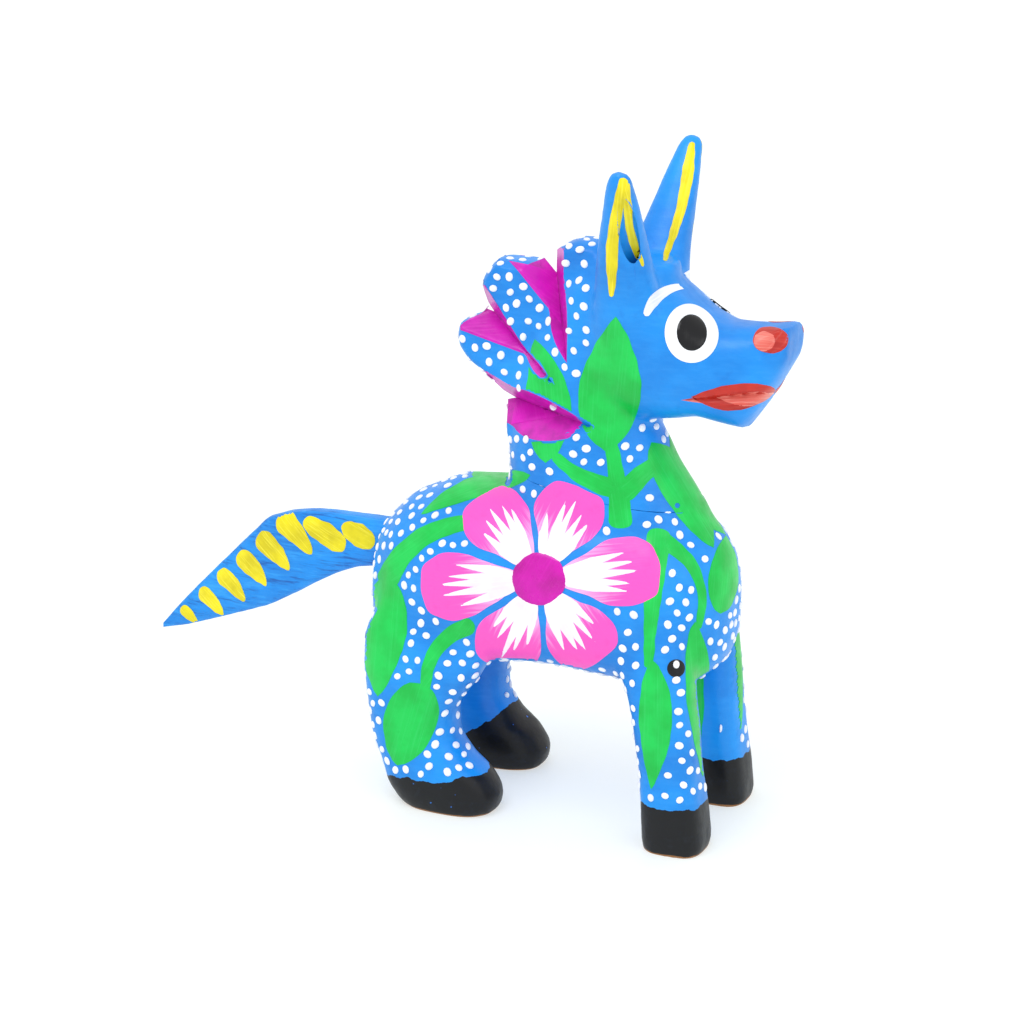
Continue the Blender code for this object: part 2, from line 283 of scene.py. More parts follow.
def close_neck_joint(mesh, side):
    """Draws the two faces of the glued joint together, so that only a hairline shows."""
    for v in mesh.vertices:
        above = (v.co.z - NECK_HEIGHT - NECK_SLOPE * v.co.x) * side
        if above < NECK_CLOSE_REACH:
            share = 1 - max(above, 0.0) / NECK_CLOSE_REACH
            v.co.z -= side * NECK_CLOSE * share * share
    mesh.update()


def knife_marks(mesh, amount, size, seed):
    """Shallow flats and hollows, as carving and sanding by hand leave."""
    shift = Vector((seed * 3.1, seed * 1.7, seed * 5.3))
    points = []
    for co, normal in [(v.co.copy(), v.normal.copy()) for v in mesh.vertices]:
        wide = noise.noise(co / (size * MM) + shift)
        small = noise.noise(co / (0.35 * size * MM) - shift)
        moved = co + normal * (wide + 0.35 * small) * amount * MM
        points.append((moved.x, moved.y, max(moved.z, 0.0)))
    write_points(mesh, points)


def wood_piece(node, name, body):
    mesh = fine_copy(node, name)
    obj = bpy.data.objects.new(name, mesh)
    bpy.context.scene.collection.objects.link(obj)
    for face in mesh.polygons:
        face.use_smooth = True
    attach(obj, body)
    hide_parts(node)
    return obj


def shade_with_cuts(obj):
    """Smooth shading that still breaks at the knife cuts."""
    bm = bmesh.new()
    bm.from_mesh(obj.data)
    for e in bm.edges:
        e.smooth = e.calc_face_angle(0.0) < SHARP_ANGLE
    bm.to_mesh(obj.data)
    bm.free()


# ---------------------------------------------------------------- camera, light and floor


def look_from(azimuth, elevation):
    """The direction from the object to an eye at that azimuth and elevation."""
    a = math.radians(azimuth)
    e = math.radians(elevation)
    return Vector((math.sin(a) * math.cos(e), -math.cos(a) * math.cos(e), math.sin(e)))


def make_camera():
    data = bpy.data.cameras.new("camera")
    data.lens = CAMERA_LENS
    data.sensor_width = 36.0
    data.clip_start = 0.01
    data.clip_end = 10.0
    camera = bpy.data.objects.new("camera", data)
    bpy.context.scene.collection.objects.link(camera)
    back = look_from(CAMERA_AZIMUTH, CAMERA_ELEVATION)
    camera.location = Vector(CAMERA_TARGET) + back * CAMERA_DISTANCE
    camera.rotation_euler = (-back).to_track_quat("-Z", "Y").to_euler()
    bpy.context.scene.camera = camera


def area_light(name, azimuth, elevation, distance, size, power):
    data = bpy.data.lights.new(name, "AREA")
    data.shape = "DISK"
    data.size = size
    data.energy = power
    light = bpy.data.objects.new(name, data)
    bpy.context.scene.collection.objects.link(light)
    back = look_from(azimuth, elevation)
    light.location = Vector(CAMERA_TARGET) + back * distance
    light.rotation_euler = (-back).to_track_quat("-Z", "Y").to_euler()


def make_stage():
    bpy.context.scene.view_settings.view_transform = "Standard"
    world = bpy.data.worlds.new("studio")
    bpy.context.scene.world = world
    world.use_nodes = True
    world.node_tree.nodes["Background"].inputs["Color"].default_value = (1.0, 1.0, 1.0, 1.0)
    world.node_tree.nodes["Background"].inputs["Strength"].default_value = 1.0
    area_light("key", -12.0, 62.0, 0.55, 0.30, 0.9)
    area_light("fill", 60.0, 30.0, 0.7, 0.45, 0.5)
    bm = bmesh.new()
    bmesh.ops.create_grid(bm, x_segments=40, y_segments=40, size=1.6)
    mesh = bpy.data.meshes.new("floor")
    bm.to_mesh(mesh)
    bm.free()
    floor = bpy.data.objects.new("floor", mesh)
    floor.location.z = -0.00002
    bpy.context.scene.collection.objects.link(floor)
    s = Shader("pale_floor", 0.6)
    s.colour((0.50, 0.52, 0.52, 1.0))
    s.out.inputs["Emission Color"].default_value = (0.95, 1.0, 1.0, 1.0)
    s.out.inputs["Emission Strength"].default_value = 0.52
    floor.data.materials.append(s.material)


# ---------------------------------------------------------------- coats of paint


def curve(points, closed=True, corners=(0,), spacing=0.25):
    """A smooth line through the points, turning sharply only at the numbered corners."""
    points = [Vector(p) for p in points]
    count = len(points)
    spans = range(count if closed else count - 1)
    line = []
    for i in spans:
        a, b = points[i], points[(i + 1) % count]
        first = i in corners or (not closed and i == 0)
        last = (i + 1) % count in corners or (not closed and i == count - 2)
        before = a if first else points[i - 1]
        after = b if last else points[(i + 2) % count]
        steps = max(2, int((b - a).length / spacing))
        for k in range(steps):
            t = k / steps
            line.append(
                0.5
                * (
                    2 * a
                    + (b - before) * t
                    + (2 * before - 5 * a + 4 * b - after) * t * t
                    + (3 * a - before - 3 * b + after) * t * t * t
                )
            )
    if not closed:
        line.append(points[-1])
    return line


def band(points, widths):
    """The outline of a brush line with that half width at each point, and round ends."""
    line = curve(points, closed=False, corners=())
    left = []
    right = []
    for i, p in enumerate(line):
        ahead = line[min(i + 1, len(line) - 1)] - line[max(i - 1, 0)]
        ahead.normalize()
        place = i / (len(line) - 1) * (len(widths) - 1)
        k = min(int(place), len(widths) - 2)
        width = widths[k] + (widths[k + 1] - widths[k]) * (place - k)
        end = min(i, len(line) - 1 - i) * 0.25
        if end < width:
            width *= math.sqrt(max(0.04, 1 - (1 - end / width) ** 2))
        side = Vector((-ahead.y, ahead.x)) * width
        left.append(p + side)
        right.append(p - side)
    return left + right[::-1]


def wobble(outline, amount, size, seed):
    """A brushed edge that isn't quite even."""
    out = []
    for p in outline:
        at = Vector((p.x / size, p.y / size, seed * 7.7))
        out.append(p + Vector((noise.noise(at), noise.noise(at + Vector((9.2, 4.1, 3.3))))) * amount)
    return out


def surface_tree(objects):
    points = []
    faces = []
    for obj in objects:
        base = len(points)
        points += [v.co.copy() for v in obj.data.vertices]
        faces += [[base + i for i in f.vertices] for f in obj.data.polygons]
    return BVHTree.FromPolygons(points, faces)


class Facing:
    """A direction the painter looks from. Places are u across and v up, in millimetres."""

    def __init__(self, tree, azimuth, elevation, mirrored=False, skipped=frozenset()):
        self.tree = tree
        self.skipped = skipped
        self.back = look_from(azimuth, elevation)
        self.across = Vector((math.cos(math.radians(azimuth)), math.sin(math.radians(azimuth)), 0.0))
        self.up = self.back.cross(self.across)
        self.flip = Vector((1.0, -1.0 if mirrored else 1.0, 1.0))

    def hit(self, u, v):
        """The surface point seen at that place, its normal, and how squarely it is seen."""
        origin = (self.across * u + self.up * v) * MM + self.back * 0.3
        origin *= self.flip
        ahead = -self.back * self.flip
        point, normal, face, _ = self.tree.ray_cast(origin, ahead)
        if point is None or face in self.skipped:
            return None
        if normal.dot(ahead) > 0:
            normal = -normal
        return point, normal, -normal.dot(ahead)


def edge_distance(places, outline):
    """The distance from each place to the outline."""
    a = np.array([(p.x, p.y) for p in outline])
    ab = np.roll(a, -1, axis=0) - a
    q = np.array(places)[:, None, :] - a[None]
    t = np.clip((q * ab).sum(2) / np.maximum((ab * ab).sum(1), 1e-9), 0, 1)
    gap = q - ab[None] * t[:, :, None]
    return np.sqrt((gap * gap).sum(2)).min(1)


def inside(places, outline):
    a = np.array([(p.x, p.y) for p in outline])
    b = np.roll(a, -1, axis=0)
    x = places[:, 0][:, None]
    y = places[:, 1][:, None]
    rise = np.where(np.abs(b[:, 1] - a[:, 1]) < 1e-9, 1e-9, b[:, 1] - a[:, 1])
    crosses = ((a[:, 1] > y) != (b[:, 1] > y)) & (x < (b[:, 0] - a[:, 0]) * (y - a[:, 1]) / rise + a[:, 0])
    return crosses.sum(1) % 2 == 1


class Coat:
    """Patches of one paint, gathered into one piece that rides one body."""

    def __init__(self, name, body, slot_name):
        self.name = name
        self.body = body
        self.slot_name = slot_name
        self.points = []
        self.faces = []
        self.stroke = []
        self.count = 0

    def patch(
        self, facing, outline, thickness, start, end, grid=0.33, dome=0.0, least=0.2, past=99.0, relax=0.4
    ):
        """One closed patch. start and end are the ends of its brush stroke."""
        low = Vector((min(p.x for p in outline), min(p.y for p in outline)))
        high = Vector((max(p.x for p in outline), max(p.y for p in outline)))
        columns = np.arange(low.x, high.x, grid)
        rows = np.arange(low.y, high.y, grid * 0.87)
        if len(columns) and len(rows):
            spots = np.array([(x + (j % 2) * grid / 2, y) for j, y in enumerate(rows) for x in columns])
            spots = spots[inside(spots, outline)]
            if len(spots):
                spots = spots[edge_distance(spots, outline) > 0.4 * grid]
        else:
            spots = []
        places = [Vector(p) for p in outline] + [Vector((float(p[0]), float(p[1]))) for p in spots]
        loop = [(i, (i + 1) % len(outline)) for i in range(len(outline))]
        flat, _, triangles, _, _, _ = geometry.delaunay_2d_cdt(places, loop, [], 1, 1e-4)
        if not triangles:
            return
        depth = edge_distance([(p.x, p.y) for p in flat], outline)
        hits = [facing.hit(p.x, p.y) for p in flat]
        kept = []
        for t in triangles:
            if any(hits[i] is None or hits[i][2] < least for i in t):
                continue
            if any(hits[i][0].y * facing.flip.y > past * MM for i in t):
                continue
            if all((hits[a][0] - hits[b][0]).length < 2.2 * MM for a, b in zip(t, t[1:] + t[:1])):
                kept.append(tuple(t))
        if not kept:
            return
        used = sorted({i for t in kept for i in t})
        number = {i: k for k, i in enumerate(used)}
        kept = [tuple(number[i] for i in t) for t in kept]
        at = np.array([hits[i][0] for i in used])
        out = np.array([hits[i][1] for i in used])
        depth = depth[used]
        pairs = np.array([(a, b) for t in kept for a, b in zip(t, t[1:] + t[:1])])
        pairs = np.concatenate([pairs, pairs[:, ::-1]])
        share = np.zeros(len(used))
        np.add.at(share, pairs[:, 0], 1)
        for _ in range(3):
            total = np.zeros_like(out)
            np.add.at(total, pairs[:, 0], out[pairs[:, 1]])
            out = out + total
            out /= np.linalg.norm(out, axis=1)[:, None]
        total = np.zeros_like(at)
        np.add.at(total, pairs[:, 0], at[pairs[:, 1]])
        inner = (depth > 0.05) & (share > 0)
        at[inner] += relax * (total[inner] / share[inner, None] - at[inner])
        reach = max(depth.max(), 0.01)
        lift = thickness * (0.55 + 0.45 * np.clip(depth / 0.3, 0, 1))
        lift += dome * np.sqrt(np.clip(1 - (1 - depth / reach) ** 2, 0, 1))
        top = at + out * lift[:, None] * MM
        under = at - out * 0.08 * MM
        base = len(self.points)
        half = len(used)
        self.points += [tuple(p) for p in top] + [tuple(p) for p in under]
        flipped = facing.flip.y < 0
        edges = {}
        for t in kept:
            a, b, c = t
            normal = np.cross(at[b] - at[a], at[c] - at[a])
            if normal.dot(out[a]) < 0:
                t = (a, c, b)
            self.faces.append(tuple(base + i for i in t))
            self.faces.append(tuple(base + half + i for i in t[::-1]))
            for pair in zip(t, t[1:] + t[:1]):
                edges[pair] = True
        for a, b in edges:
            if (b, a) not in edges:
                self.faces.append((base + b, base + a, base + half + a, base + half + b))
        start = Vector(start)
        along = Vector(end) - start
        length = along.length
        along /= length
        side = Vector((-along.y, along.x))
        shift = self.count * 0.37 + (0.19 if flipped else 0)
        values = []
        for i in used:
            q = flat[i] - start
            values.append((q.dot(along) / length, q.dot(side), shift))
        self.stroke += values + values
        self.count += 1

    def finish(self, material):
        mesh = bpy.data.meshes.new(self.name)
        mesh.from_pydata(self.points, [], self.faces)
        mesh.update()
        layer = mesh.attributes.new("stroke", "FLOAT_VECTOR", "POINT")
        layer.data.foreach_set("vector", np.array(self.stroke, np.float32).reshape(-1))
        for face in mesh.polygons:
            face.use_smooth = True
        mesh.materials.append(material)
        obj = bpy.data.objects.new(self.name, mesh)
        bpy.context.scene.collection.objects.link(obj)
        bm = bmesh.new()
        bm.from_mesh(mesh)
        for e in bm.edges:
            e.smooth = e.calc_face_angle(0.0) < math.radians(50)
        bm.to_mesh(mesh)
        bm.free()
        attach(obj, self.body)
        return obj


def paint(name, dark, mid, light, roughness=0.36, streaks=1.0, specular=0.32):
    """Acrylic laid on with a brush: streaks along the stroke and fine mottling."""
    s = Shader(name, roughness, coat=0.12, specular=specular)
    stroke = s.attribute("stroke").outputs["Vector"]
    hair = s.noise(1.0, 3.0, 0.6, s.stretched((1.5, 4.2, 9.0), stroke), 0.3)
    mottle = s.noise(700.0, 4.0, 0.6)
    patch = s.noise(230.0, 3.0, 0.5)
    base = s.mix(s.ramp(patch, 0.38, 0.64, 0.0, 0.9), mid, dark)
    base = s.mix(s.ramp(hair, 0.52, 0.70, 0.0, 0.75 * streaks), base, light)
    base = s.mix(s.ramp(mottle, 0.58, 0.74, 0.0, 0.3), base, dark)
    s.colour(base)
    s.roughness(s.ramp(mottle, 0.3, 0.7, roughness - 0.08, roughness + 0.1))
    s.bump([(hair, 0.03), (mottle, 0.035)])
    return s.material


def petal_paint():
    """Pink that pales to near white towards the middle of the flower."""
    s = Shader("petal_pink", 0.34, coat=0.12, specular=0.32)
    stroke = s.attribute("stroke").outputs["Vector"]
    split = s.node("ShaderNodeSeparateXYZ")
    s.link(stroke, split.inputs["Vector"])
    hair = s.noise(1.0, 3.0, 0.6, s.stretched((1.2, 3.4, 9.0), stroke), 0.4)
    mottle = s.noise(650.0, 4.0, 0.6)
    shifted = s.math("ADD", split.outputs["X"], s.ramp(hair, 0.3, 0.7, -0.16, 0.16))
    tone = s.mix(s.ramp(shifted, 0.30, 0.62), srgb(250, 176, 228), srgb(252, 84, 192))
    tone = s.mix(s.ramp(mottle, 0.56, 0.72, 0.0, 0.35), tone, srgb(240, 70, 180))
    s.colour(tone)
    s.roughness(s.ramp(mottle, 0.3, 0.7, 0.28, 0.46))
    s.bump([(hair, 0.05), (mottle, 0.03)])
    return s.material


# ---------------------------------------------------------------- the decoration's places

BRUSH_AZIMUTH = 24.0
BRUSH_ELEVATION = 19.0

# the flower: its middle, and six petals at even turns, the long ones lying along the body
FLOWER = (10.5, 28.0)
DISC_RADIUS = 3.4
FLOWER_REACH = 10.5
PETAL_COUNT = 6
FIRST_PETAL = 5.0
PETAL_REACH = 13.0
PETAL_STRETCH = 2.5
PETAL_WIDTH = 4.4
# a petal's half width, as a share of its widest, at even steps from the disc to the tip
PETAL_SHAPE = (0.26, 0.40, 0.57, 0.76, 0.92, 1.0, 1.0, 0.90, 0.64)

# leaves: root, tip, widest half width, how far the middle bows to the left of the way it points, fullness
LEAVES = (
    ((19.0, 44.5), (20.0, 61.0), 3.9, 0.0, 0.8),
    ((11.5, 43.0), (10.0, 59.0), 2.9, -1.0, 0.8),
    ((25.0, 45.5), (33.0, 32.0), 2.7, 0.5, 0.7),
    ((34.0, 23.5), (35.0, 33.5), 2.2, 0.0, 0.7),
    ((25.0, 17.5), (25.0, 0.5), 2.1, 0.5, 0.8),
    ((30.5, 22.5), (32.0, 2.0), 1.8, 0.0, 0.8),
    ((9.5, 41.5), (-5.0, 36.5), 1.5, -1.0, 0.7),
    ((-9.5, 28.5), (-11.0, 12.0), 3.2, 0.0, 0.8),
    ((-5.0, 14.0), (-8.5, 2.5), 3.6, 0.0, 0.6),
)
CHEST_LEAF = LEAVES[3]
# stems: start, end, how far the middle bows to the left, half width at the start and at the end
STEMS = (
    ((19.5, 46.5), (21.0, 34.5), 0.3, 0.7, 1.6),
    ((12.5, 44.0), (21.0, 39.5), -0.8, 0.6, 1.4),
    ((21.0, 38.5), (26.5, 43.5), 0.3, 1.5, 1.0),
    ((24.5, 16.5), (26.0, 34.5), 0.3, 0.5, 1.7),
    ((25.5, 33.5), (31.0, 21.5), 2.6, 1.1, 0.4),
    ((2.0, 35.5), (-10.0, 27.0), -2.2, 1.0, 1.6),
    ((2.0, 22.0), (-4.5, 13.0), -2.0, 1.2, 0.7),
)

EYE = (29.5, 59.0)
EYE_SIZE = (3.4, 3.8)
PUPIL_SIZE = (2.0, 2.4)
# the brow is an arc round the eye: radius, the turn it starts and ends at, half width at its thickest
BROW_RADIUS = 6.2
BROW_TURNS = (160.0, 84.0)
BROW_WIDTH = 0.7
# yellow strokes on the ears: upper end, lower end, widest half width
NEAR_EAR = (
    ((20.5, 77.0), (19.5, 63.5), 0.75),
    ((20.8, 76.5), (23.2, 67.0), 0.55),
)
FAR_EAR = (((30.5, 84.5), (26.5, 68.5), 0.75),)
EAR_BOW = -0.6

# the tail's strokes, looking square at its side: a row that starts under the upper edge
TAIL_ROW_START = (-43.5, 19.0)
TAIL_ROW_STEP = (3.3, 3.25)
TAIL_SLOPE_STROKES = 6
TAIL_STROKE = (4.8, -4.4)
TAIL_STROKE_WIDTHS = (0.95, 1.8)
TAIL_TOP_STROKES = (((-23.0, 35.0), (-16.5, 32.0)), ((-17.0, 35.0), (-12.0, 33.0)))
TAIL_TOP_WIDTH = 1.7

# the mouth: its corner, its front, how far the lips bow up and down; then a painted highlight inside it,
# salmon where the red lower lip faces the light
MOUTH_CORNER = (29.5, 51.0)
MOUTH_FRONT = (40.5, 52.0)
MOUTH_RISE = 1.0
MOUTH_FALL = 2.2
LIP_HIGHLIGHT_CORNER = (32.5, 51.0)
LIP_HIGHLIGHT_FRONT = (40.2, 51.6)
LIP_HIGHLIGHT_FALL = 1.5
NOSTRIL = (39.2, 58.0)
NOSTRIL_SIZE = (2.15, 1.75)
# the nostril's lit facet: a painted highlight, salmon on the red
NOSTRIL_LIT = (38.5, 57.8)
NOSTRIL_LIT_SIZE = (1.35, 1.3)
SPOT = (28.0, 16.5)
SPOT_RADIUS = 1.15
SPOT_DOTS = ((28.0, 17.0), (28.0, 15.0))
# a row of dots along the belly's edge: ends, how far its middle bows up, how many
BELLY_ROW = ((3.5, 15.0), (22.5, 14.5))
BELLY_BOW = 1.4
BELLY_DOTS = 11

# the head's cuts, as the CAD makes them, before the frame was centred
FRAME_SHIFT = 18.95
# mane notches: tip, the way each opens and half its spread in degrees, then how far from the tip its
# bottom meets the board's edge and its front and back rims lie
MANE_NOTCHES = (
    (-2.5, 67.5, 111.0, 22.0, 6.5, 10.5, 11.0),
    (-7.0, 63.0, 146.0, 20.0, 8.0, 12.0, 11.5),
    (-2.5, 55.5, 176.0, 20.0, 8.0, 14.0, 7.5),
)
NOTCH_DEPTH = 3.5
MOUTH_CUT = ((27.6, -2.6, 62.0), (15.8, -6.6, 60.6), (27.4, -5.0, 63.2), (25.0, -5.6, 58.6))
CUT_NEAR = 0.07
CUT_REACH = {"mane": 12.5, "mouth": 14.5}

# dots
DOT_SPACING = 1.62
DOT_RADIUS = 0.52
DOT_HEIGHT = 0.24
DOT_CLEAR = 0.22


def ellipse(centre, size, points=56):
    turns = [2 * math.pi * i / points for i in range(points)]
    return [Vector((centre[0] + size[0] * math.cos(t), centre[1] + size[1] * math.sin(t))) for t in turns]


def bowed(start, end, bow, share):
    """A place on a line from start to end whose middle bows to the left."""
    start = Vector(start)
    along = Vector(end) - start
    left = Vector((-along.y, along.x)).normalized()
    return start + along * share + left * bow * 4 * share * (1 - share)


def leaf_outline(root, tip, width, bow, fullness, steps=24):
    """A leaf with round shoulders at its root and a point at its tip."""
    sides = ([], [])
    across = (Vector(tip) - Vector(root)).normalized()
    across = Vector((-across.y, across.x))
    for i in range(steps + 1):
        share = i / steps
        half = width * math.sin(math.pi * share**0.8) ** fullness if 0 < i < steps else 0.0
        for side, sign in zip(sides, (1, -1)):
            side.append(bowed(root, tip, bow, share) + across * half * sign)
    places = sides[0] + sides[1][-2:0:-1]
    outline = []
    for a, b in zip(places, places[1:] + places[:1]):
        pieces = max(1, int((b - a).length / 0.3))
        outline += [a.lerp(b, k / pieces) for k in range(pieces)]
    return outline


def stem_outline(start, end, bow, first, last):
    line = [bowed(start, end, bow, share) for share in (0.0, 0.25, 0.5, 0.75, 1.0)]
    return band(line, [first + (last - first) * share for share in (0.0, 0.5, 1.0)])


def stroke_outline(upper, lower, bow, width, shares):
    line = [bowed(upper, lower, bow, share) for share in (0.0, 0.5, 1.0)]
    return band(line, [width * share for share in shares])


def lip_outline(corner, front, rise, fall, steps=20):
    """A closed mouth shape between its corner and its front."""
    upper = [bowed(corner, front, rise, i / steps) for i in range(steps + 1)]
    lower = [bowed(corner, front, -fall, i / steps) for i in range(steps - 1, 0, -1)]
    return upper + lower


def brow_line():
    turns = [math.radians(BROW_TURNS[0] + (BROW_TURNS[1] - BROW_TURNS[0]) * i / 5) for i in range(6)]
    return [Vector((EYE[0] + BROW_RADIUS * math.cos(t), EYE[1] + BROW_RADIUS * math.sin(t))) for t in turns]


def petals():
    """Each petal's tip and half width."""
    for i in range(PETAL_COUNT):
        turn = math.radians(FIRST_PETAL + 360 * i / PETAL_COUNT)
        reach = PETAL_REACH + PETAL_STRETCH * math.cos(turn) ** 4
        yield (FLOWER[0] + reach * math.cos(turn), FLOWER[1] + reach * math.sin(turn)), PETAL_WIDTH


def tail_strokes():
    """Each stroke's upper end, lower end, widest half width, and whether its lower end is the blunt one."""
    for i in range(TAIL_SLOPE_STROKES):
        share = i / (TAIL_SLOPE_STROKES - 1)
        upper = Vector(TAIL_ROW_START) + Vector(TAIL_ROW_STEP) * i
        size = 0.7 + 0.4 * share
        width = TAIL_STROKE_WIDTHS[0] + (TAIL_STROKE_WIDTHS[1] - TAIL_STROKE_WIDTHS[0]) * share**0.6
        yield upper, upper + Vector(TAIL_STROKE) * size * (0.75 if i == 0 else 1.0), width, False
    for upper, lower in TAIL_TOP_STROKES:
        yield Vector(upper), Vector(lower), TAIL_TOP_WIDTH, True


def notch_points(tip_x, tip_z, opens, spread, root_reach, front_reach, back_reach):
    """A notch's bottom at the board's edge, its tip, and a place on each of its rims."""
    places = []
    for turn, reach, depth in (
        (opens, root_reach, 0.0),
        (opens, 0.0, NOTCH_DEPTH),
        (opens - spread, front_reach, NOTCH_DEPTH),
        (opens + spread, back_reach, NOTCH_DEPTH),
    ):
        angle = math.radians(turn)
        places.append((tip_x + reach * math.cos(angle), -depth, tip_z + reach * math.sin(angle)))
    return places


def notch_outline(notch):
    """The notch's painted outline as the painter sees it."""
    view = Facing(None, BRUSH_AZIMUTH, BRUSH_ELEVATION)
    root, tip, front, back = notch_points(*notch)
    corners = []
    for x, y, z in (back, tip, front, root):
        place = Vector((x + FRAME_SHIFT, y, z))
        corners.append((place.dot(view.across), place.dot(view.up)))
    return curve(corners, corners=range(4))


def petal_outline(tip, width, seed):
    centre = Vector(FLOWER)
    axis = Vector(tip) - centre
    length = axis.length
    axis /= length
    side = Vector((-axis.y, axis.x))
    first = DISC_RADIUS * 0.8
    places = []
    steps = len(PETAL_SHAPE) - 1
    for i, share in enumerate(PETAL_SHAPE):
        reach = first + (length - first) * i / (steps + 0.35)
        places.append((reach, share * width))
    left = [centre + axis * a + side * b for a, b in places]
    right = [centre + axis * a - side * b for a, b in reversed(places)]
    blunt = [centre + axis * length]
    outline = curve(left + blunt + right, corners=(0, 2 * len(places)))
    return wobble(outline, 0.28, 2.6, seed)


def petal_rays(tip, width, seed):
    """White brush strokes that taper from the middle of the flower to points near the petal's end."""
    rng = random.Random(seed)
    centre = Vector(FLOWER)
    axis = Vector(tip) - centre
    length = axis.length
    axis /= length
    side = Vector((-axis.y, axis.x))
    spread = (-0.78, -0.42, -0.04, 0.36, 0.74)
    for place in spread:
        place += rng.uniform(-0.06, 0.06)
        reach = length * (0.90 - 0.22 * abs(place) + rng.uniform(-0.06, 0.03))
        start = centre + axis * (DISC_RADIUS * 0.7) + side * place * width * 0.14
        middle = centre + axis * reach * 0.55 + side * place * width * 0.47
        end = centre + axis * reach + side * place * width * 0.80
        thick = width * rng.uniform(0.13, 0.165)
        widths = [thick * share for share in (0.5, 0.95, 1.05, 0.6)] + [0.04]
        yield band((start, middle, end), widths), start, end


def paint_side(wood, mirrored):
    """All the coats that both sides of the figure share."""
    view = Facing(wood, BRUSH_AZIMUTH, BRUSH_ELEVATION, mirrored, walls)
    view_over = Facing(wood, BRUSH_AZIMUTH, BRUSH_ELEVATION, mirrored)
    seed = 100 if mirrored else 0
    for i, leaf in enumerate(LEAVES):
        if mirrored and leaf == CHEST_LEAF:
            continue
        green.patch(view, wobble(leaf_outline(*leaf), 0.16, 1.8, seed + i), LEAF_COAT, leaf[0], leaf[1])
    for i, stem in enumerate(STEMS):
        shape = wobble(stem_outline(*stem), 0.12, 1.5, seed + 40 + i)
        green.patch(view, shape, STEM_COAT, stem[0], stem[1])
    for i, (tip, width) in enumerate(petals()):
        pink.patch(view, petal_outline(tip, width, seed + i), PETAL_COAT, FLOWER, tip, past=PETAL_LIMIT)
        for outline, start, end in petal_rays(tip, width, seed + i):
            white.patch(view, outline, RAY_COAT, start, end, FINE_GRID, past=PETAL_LIMIT)
        heart = Vector(FLOWER).lerp(Vector(tip), 0.36)
        turn = Vector(tip) - Vector(FLOWER)
        first = Vector(FLOWER) + turn * 0.16
        last = Vector(FLOWER) + turn * 0.50
        pale = band((first, heart, last), (0.7, 1.2, 1.3, 0.9, 0.3))
        white.patch(view, wobble(pale, 0.3, 0.9, seed + i), PALE_COAT, FLOWER, heart, 0.3)
    disc = wobble(ellipse(FLOWER, (3.45, 3.4)), 0.12, 1.5, seed)
    magenta.patch(view, disc, DISC_COAT, FLOWER, EYE, dome=0.08)
    crest = FAR_EYE_LIMIT if mirrored else NEAR_EYE_LIMIT
    eye_white.patch(view, ellipse(EYE, EYE_SIZE), EYE_COAT, EYE, SPOT, FINE_GRID, dome=0.05, past=crest)
    pupil = ellipse(EYE, PUPIL_SIZE)
    eye_black.patch(view, pupil, PUPIL_COAT, EYE, SPOT, FINE_GRID, dome=0.16, past=crest)
    brow = brow_line()
    widths = [BROW_WIDTH * share for share in (0.5, 1.0, 0.9, 0.6, 0.2)]
    stroke = band(brow, widths)
    eye_white.patch(view, stroke, EYE_COAT, brow[0], brow[-1], 0.22, least=0.05, past=crest)
    for upper, lower, width in NEAR_EAR:
        shape = stroke_outline(upper, lower, EAR_BOW, width, (0.75, 0.9, 1.0, 0.3))
        shape = wobble(shape, 0.10, 1.1, seed + 5)
        yellow.patch(view, shape, EAR_COAT, upper, lower, RIM_GRID, least=0.02)
    mouth = wobble(lip_outline(MOUTH_CORNER, MOUTH_FRONT, MOUTH_RISE, MOUTH_FALL), 0.08, 1.0, seed)
    lip_red.patch(view, mouth, LIP_COAT, MOUTH_CORNER, MOUTH_FRONT, LIP_GRID, least=0.03, relax=0.0)
    # a painted highlight: the lower lip's lit facet, in salmon over the red
    highlight_shape = wobble(lip_outline(LIP_HIGHLIGHT_CORNER, LIP_HIGHLIGHT_FRONT, 0.2, LIP_HIGHLIGHT_FALL), 0.10, 0.7, seed)
    ends = (LIP_HIGHLIGHT_CORNER, LIP_HIGHLIGHT_FRONT)
    lip_painted_highlight.patch(view, highlight_shape, LIP_HIGHLIGHT_COAT, *ends, LIP_GRID, least=0.03, relax=0.0)
    nostril = wobble(ellipse(NOSTRIL, NOSTRIL_SIZE), 0.12, 1.0, seed)
    lip_red.patch(view, nostril, LIP_COAT, NOSTRIL, EYE, LIP_GRID)
    # a painted highlight: the nostril's lit facet, in salmon over the red
    lit = wobble(ellipse(NOSTRIL_LIT, NOSTRIL_LIT_SIZE), 0.10, 0.7, seed)
    lip_painted_highlight.patch(view, lit, LIP_HIGHLIGHT_COAT, NOSTRIL, EYE, LIP_GRID)
    for notch in MANE_NOTCHES:
        outline = notch_outline(notch)
        far_end = outline[len(outline) // 2]
        notch_magenta.patch(view_over, outline, NOTCH_COAT, outline[0], far_end, RIM_GRID, relax=0.0)
    spot_black.patch(view, ellipse(SPOT, (SPOT_RADIUS, SPOT_RADIUS)), SPOT_COAT, SPOT, EYE, FINE_GRID)
    rng = random.Random(seed + 3)
    row = [bowed(*BELLY_ROW, BELLY_BOW, i / (BELLY_DOTS - 1)) for i in range(BELLY_DOTS)]
    for place in list(SPOT_DOTS) + row:
        found = view.hit(*place)
        if found and found[2] > 0.05 and found[0].y * view.flip.y < -3.0 * MM:
            dab(dots, found[0] + found[1] * 0.05 * MM, found[1], rng)
            placed_dots.append(found[0])


